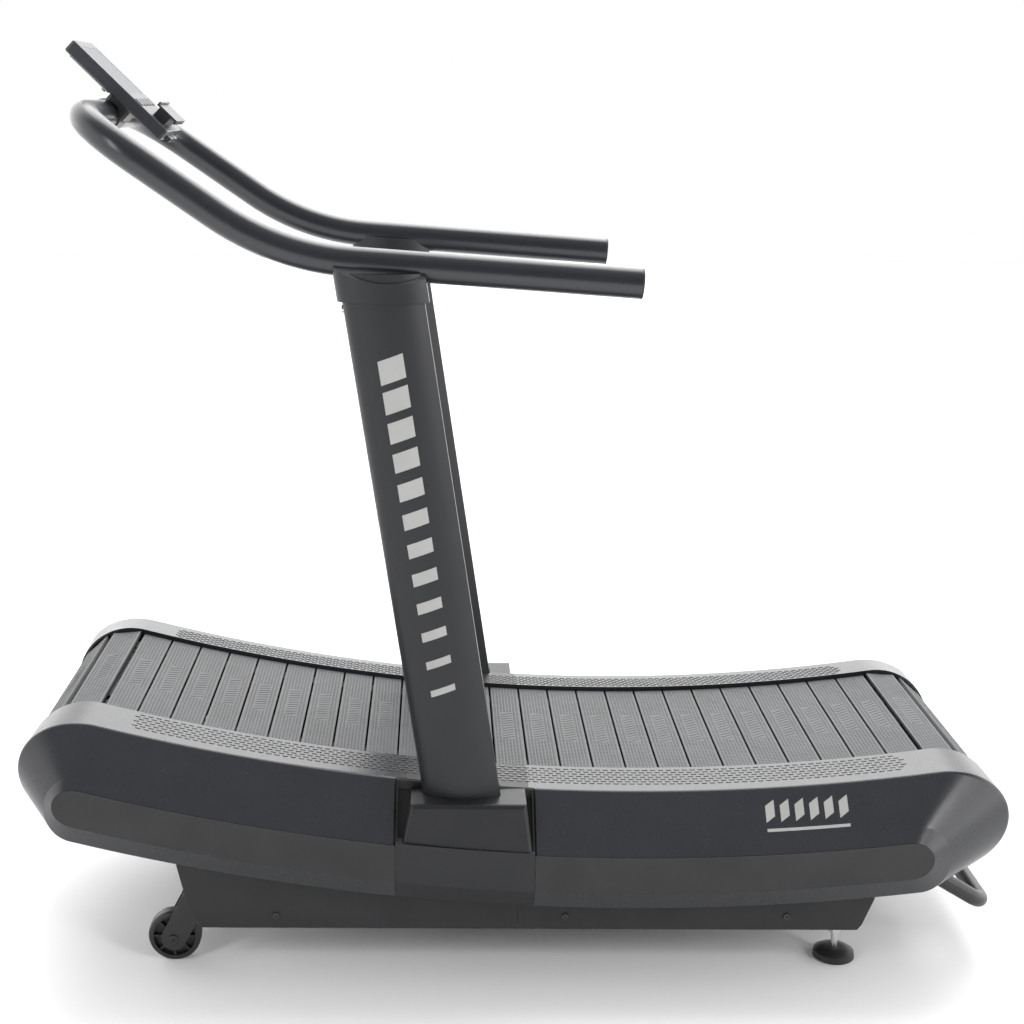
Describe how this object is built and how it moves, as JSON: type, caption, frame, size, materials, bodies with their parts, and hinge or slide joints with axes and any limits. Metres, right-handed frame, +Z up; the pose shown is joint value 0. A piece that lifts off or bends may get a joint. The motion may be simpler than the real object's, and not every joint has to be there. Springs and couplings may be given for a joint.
{
  "type": "curved manual treadmill",
  "caption": "Curved slat-belt manual treadmill with side foot rails, leaning uprights, a bent handlebar loop, a small console, transport wheels and levelling feet.",
  "frame": {"origin": "on the floor, below the centre of the outer shells", "axes": "+X along the machine towards its rear (open) end, the console end is at -X; +Y across; +Z up"},
  "size_m": [1.775, 0.805, 1.635],
  "materials": {
    "shell": "satin",
    "cover": "satin",
    "inlay": "matte",
    "grip": "matte, patterned",
    "skirt": "matte",
    "frame": "satin",
    "tube": "satin",
    "collar": "satin",
    "zinc": "satin",
    "black_steel": "satin",
    "slat": "satin, anodised",
    "tread": "matte, fine pattern",
    "belt": "matte",
    "pulley": "satin",
    "bearing": "satin",
    "roller": "satin",
    "wheel": "matte",
    "foot": "matte",
    "cap": "matte",
    "housing": "satin",
    "lens": "clear gloss",
    "back": "matte",
    "key": "matte"
  },
  "bodies": {
    "machine": {"front_shell_left": "shell", "rear_shell_left": "shell", "centre_cover_left": "cover", "inlays_left": "inlay", "grips_left": "grip", "skirt_left": "skirt", "upright_left": "tube", "collar_left": "collar", "front_shell_right": "shell", "rear_shell_right": "shell", "centre_cover_right": "cover", "inlays_right": "inlay", "grips_right": "grip", "skirt_right": "skirt", "upright_right": "tube", "collar_right": "collar", "drum_bearings": "bearing", "drive_belts": "belt", "skirt_screws": "black_steel", "upright_bolts": "zinc", "bar_caps": "cap", "wheel_forks": "black_steel", "wheel_axles": "black_steel", "deck_frame": "frame", "base_frame": "frame", "slats": "slat", "treads": "tread", "handlebar": "tube", "console_front": "housing", "console_rear": "housing", "console_lens": "lens", "console_bracket": "black_steel", "tablet_ledge": "housing", "lift_handle": "black_steel"},
    "front_drum": {"front_axle": "zinc", "front_pulleys": "pulley"},
    "rear_drum": {"rear_axle": "zinc", "rear_pulleys": "pulley"},
    "wheel_left_body": {"wheel_left": "wheel"},
    "wheel_right_body": {"wheel_right": "wheel"},
    "foot_left_body": {"foot_left": "foot"},
    "foot_right_body": {"foot_right": "foot"},
    "battery_door_body": {"battery_door": "back"},
    "guide_1_body": {"guide_1": "roller"},
    "guide_2_body": {"guide_2": "roller"},
    "guide_3_body": {"guide_3": "roller"},
    "guide_4_body": {"guide_4": "roller"},
    "guide_5_body": {"guide_5": "roller"},
    "guide_6_body": {"guide_6": "roller"},
    "guide_7_body": {"guide_7": "roller"},
    "guide_8_body": {"guide_8": "roller"},
    "guide_9_body": {"guide_9": "roller"},
    "guide_10_body": {"guide_10": "roller"},
    "guide_11_body": {"guide_11": "roller"},
    "guide_12_body": {"guide_12": "roller"},
    "key_1_body": {"key_1": "key"},
    "key_2_body": {"key_2": "key"},
    "key_3_body": {"key_3": "key"},
    "key_4_body": {"key_4": "key"},
    "key_5_body": {"key_5": "key"}
  },
  "joints": [
    {"name": "front_drum_spin", "type": "hinge", "parent": "machine", "child": "front_drum", "pos_m": [-0.775, 0, 0.36308], "axis": [0, 1, 0], "continuous": true},
    {"name": "rear_drum_spin", "type": "hinge", "parent": "machine", "child": "rear_drum", "pos_m": [0.775, 0, 0.28144], "axis": [0, 1, 0], "continuous": true},
    {"name": "guide_1_spin", "type": "hinge", "parent": "machine", "child": "guide_1_body", "pos_m": [-0.66, 0, 0.40698], "axis": [0, 1, 0], "continuous": true},
    {"name": "guide_2_spin", "type": "hinge", "parent": "machine", "child": "guide_2_body", "pos_m": [-0.54, 0, 0.3816], "axis": [0, 1, 0], "continuous": true},
    {"name": "guide_3_spin", "type": "hinge", "parent": "machine", "child": "guide_3_body", "pos_m": [-0.42, 0, 0.36014], "axis": [0, 1, 0], "continuous": true},
    {"name": "guide_4_spin", "type": "hinge", "parent": "machine", "child": "guide_4_body", "pos_m": [-0.3, 0, 0.34253], "axis": [0, 1, 0], "continuous": true},
    {"name": "guide_5_spin", "type": "hinge", "parent": "machine", "child": "guide_5_body", "pos_m": [-0.18, 0, 0.32872], "axis": [0, 1, 0], "continuous": true},
    {"name": "guide_6_spin", "type": "hinge", "parent": "machine", "child": "guide_6_body", "pos_m": [-0.06, 0, 0.31868], "axis": [0, 1, 0], "continuous": true},
    {"name": "guide_7_spin", "type": "hinge", "parent": "machine", "child": "guide_7_body", "pos_m": [0.06, 0, 0.31237], "axis": [0, 1, 0], "continuous": true},
    {"name": "guide_8_spin", "type": "hinge", "parent": "machine", "child": "guide_8_body", "pos_m": [0.18, 0, 0.30977], "axis": [0, 1, 0], "continuous": true},
    {"name": "guide_9_spin", "type": "hinge", "parent": "machine", "child": "guide_9_body", "pos_m": [0.3, 0, 0.31089], "axis": [0, 1, 0], "continuous": true},
    {"name": "guide_10_spin", "type": "hinge", "parent": "machine", "child": "guide_10_body", "pos_m": [0.42, 0, 0.31571], "axis": [0, 1, 0], "continuous": true},
    {"name": "guide_11_spin", "type": "hinge", "parent": "machine", "child": "guide_11_body", "pos_m": [0.54, 0, 0.32426], "axis": [0, 1, 0], "continuous": true},
    {"name": "guide_12_spin", "type": "hinge", "parent": "machine", "child": "guide_12_body", "pos_m": [0.66, 0, 0.33655], "axis": [0, 1, 0], "continuous": true},
    {"name": "wheel_left_spin", "type": "hinge", "parent": "machine", "child": "wheel_left_body", "pos_m": [-0.621, -0.279, 0.048], "axis": [0, 1, 0], "continuous": true},
    {"name": "foot_left_height", "type": "slide", "parent": "machine", "child": "foot_left_body", "axis": [0, 0, 1], "range_m": [-0.01, 0.012]},
    {"name": "wheel_right_spin", "type": "hinge", "parent": "machine", "child": "wheel_right_body", "pos_m": [-0.621, 0.279, 0.048], "axis": [0, 1, 0], "continuous": true},
    {"name": "foot_right_height", "type": "slide", "parent": "machine", "child": "foot_right_body", "axis": [0, 0, 1], "range_m": [-0.01, 0.012]},
    {"name": "key_1_press", "type": "slide", "parent": "machine", "child": "key_1_body", "axis": [-0.6947, 0, -0.7193], "range_m": [0, 0.0012], "stiffness_N_per_m": 800, "springref_m": -0.0008},
    {"name": "key_2_press", "type": "slide", "parent": "machine", "child": "key_2_body", "axis": [-0.6947, 0, -0.7193], "range_m": [0, 0.0012], "stiffness_N_per_m": 800, "springref_m": -0.0008},
    {"name": "key_3_press", "type": "slide", "parent": "machine", "child": "key_3_body", "axis": [-0.6947, 0, -0.7193], "range_m": [0, 0.0012], "stiffness_N_per_m": 800, "springref_m": -0.0008},
    {"name": "key_4_press", "type": "slide", "parent": "machine", "child": "key_4_body", "axis": [-0.6947, 0, -0.7193], "range_m": [0, 0.0012], "stiffness_N_per_m": 800, "springref_m": -0.0008},
    {"name": "key_5_press", "type": "slide", "parent": "machine", "child": "key_5_body", "axis": [-0.6947, 0, -0.7193], "range_m": [0, 0.0012], "stiffness_N_per_m": 800, "springref_m": -0.0008},
    {"name": "battery_door_off", "type": "slide", "parent": "machine", "child": "battery_door_body", "axis": [-0.6947, 0, -0.7193], "range_m": [0, 0.04]}
  ],
  "couplings": [
    {"joint": "rear_drum_spin", "follows": "front_drum_spin", "ratio": 1},
    {"joint": "guide_1_spin", "follows": "front_drum_spin", "ratio": 4.8889},
    {"joint": "guide_2_spin", "follows": "front_drum_spin", "ratio": 4.8889},
    {"joint": "guide_3_spin", "follows": "front_drum_spin", "ratio": 4.8889},
    {"joint": "guide_4_spin", "follows": "front_drum_spin", "ratio": 4.8889},
    {"joint": "guide_5_spin", "follows": "front_drum_spin", "ratio": 4.8889},
    {"joint": "guide_6_spin", "follows": "front_drum_spin", "ratio": 4.8889},
    {"joint": "guide_7_spin", "follows": "front_drum_spin", "ratio": 4.8889},
    {"joint": "guide_8_spin", "follows": "front_drum_spin", "ratio": 4.8889},
    {"joint": "guide_9_spin", "follows": "front_drum_spin", "ratio": 4.8889},
    {"joint": "guide_10_spin", "follows": "front_drum_spin", "ratio": 4.8889},
    {"joint": "guide_11_spin", "follows": "front_drum_spin", "ratio": 4.8889},
    {"joint": "guide_12_spin", "follows": "front_drum_spin", "ratio": 4.8889}
  ]
}
